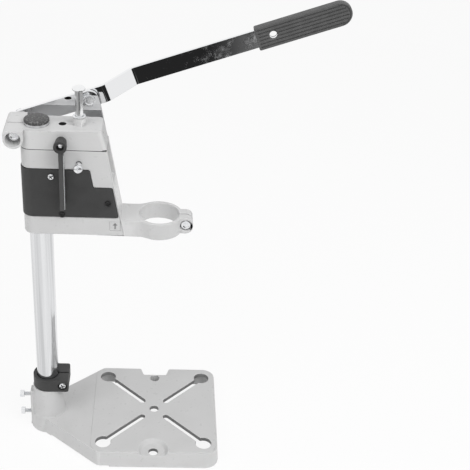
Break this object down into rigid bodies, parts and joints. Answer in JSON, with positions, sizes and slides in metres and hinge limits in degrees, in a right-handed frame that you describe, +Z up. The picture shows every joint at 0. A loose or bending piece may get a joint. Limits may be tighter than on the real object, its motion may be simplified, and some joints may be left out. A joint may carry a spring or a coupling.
{
  "type": "drill stand",
  "caption": "Bench drill stand with a slotted cast base, chromed column, lever-fed spring-return head, split 43 mm drill collar, depth stop and hanging depth scale.",
  "frame": {"origin": "column axis at bench level, under the base's socket", "axes": "+Z up along the column, +X from the column to the drill collar's axis, -Y the side of the depth scale, +Y the side of the lever"},
  "size_m": [0.3493, 0.1542, 0.5166],
  "materials": {
    "cast_paint": "gloss",
    "chrome": "polished",
    "black_plastic": "satin",
    "grip_plastic": "matte",
    "black_steel": "satin",
    "zinc": "satin",
    "scale_metal": "satin",
    "bronze": "satin",
    "spring_steel": "satin"
  },
  "bodies": {
    "base": {"base_casting": "cast_paint", "base_lock_screw_lower": "zinc", "base_lock_screw_upper": "zinc"},
    "column": {"column_tube": "chrome", "column_plug": "black_plastic"},
    "stop_ring": {"stop_collar": "black_plastic", "stop_collar_screw": "zinc", "stop_collar_nut": "zinc"},
    "bracket": {"upper_bracket": "cast_paint", "clamp_bolt": "zinc", "lever_washer": "zinc", "lever_nut": "zinc", "depth_stop_washer": "zinc", "scale_holder": "black_plastic", "scale_holder_screw": "black_steel", "scale_bar": "black_plastic", "scale_strip": "scale_metal", "spring_pin_upper": "zinc", "return_spring": "spring_steel"},
    "carriage": {"carriage_casting": "cast_paint", "side_cover_front": "black_plastic", "side_cover_far": "black_plastic", "cover_screw_front_top": "black_steel", "cover_screw_front_front": "black_steel", "cover_screw_front_rear": "black_steel", "cover_screw_far_top": "black_steel", "cover_screw_far_front": "black_steel", "cover_screw_far_rear": "black_steel", "column_bush_upper": "bronze", "column_bush_lower": "bronze", "spring_pin_lower": "zinc", "rod_lock_screw": "zinc", "collar_clamp_bolt": "zinc", "collar_clamp_washer": "zinc", "collar_clamp_nut": "zinc", "link_lower_pin": "zinc"},
    "depth_rod": {"depth_stop_rod": "zinc"},
    "link": {"link_plate": "chrome", "link_upper_pin": "zinc"},
    "lever": {"lever_bar": "chrome", "lever_grip": "grip_plastic"}
  },
  "joints": [
    {"name": "column_swivel", "type": "hinge", "parent": "base", "child": "column", "pos_m": [0, 0, 0.04], "axis": [0, 0, 1], "continuous": true},
    {"name": "stop_collar_slide", "type": "slide", "parent": "column", "child": "stop_ring", "axis": [0, 0, 1], "range_m": [0, 0.075]},
    {"name": "head_height", "type": "slide", "parent": "column", "child": "bracket", "axis": [0, 0, 1], "range_m": [-0.095, 0]},
    {"name": "carriage_feed", "type": "slide", "parent": "bracket", "child": "carriage", "axis": [0, 0, -1], "range_m": [0, 0.028], "stiffness_N_per_m": 900, "springref_m": -0.045, "deforming": ["return_spring"]},
    {"name": "lever_swing", "type": "hinge", "parent": "bracket", "child": "lever", "pos_m": [-0.0218, 0, 0.3893], "axis": [0, 1, 0], "range_deg": [0, 20.9]},
    {"name": "link_swing", "type": "hinge", "parent": "carriage", "child": "link", "pos_m": [0.0601, 0, 0.3646], "axis": [0, 1, 0], "range_deg": [0, 5.4]},
    {"name": "depth_rod_slide", "type": "slide", "parent": "carriage", "child": "depth_rod", "axis": [0, 0, 1], "range_m": [0, 0.03]}
  ],
  "couplings": [
    {"joint": "lever_swing", "follows": "carriage_feed", "rad_per_m": 12.91},
    {"joint": "link_swing", "follows": "carriage_feed", "rad_per_m": 3.3}
  ]
}
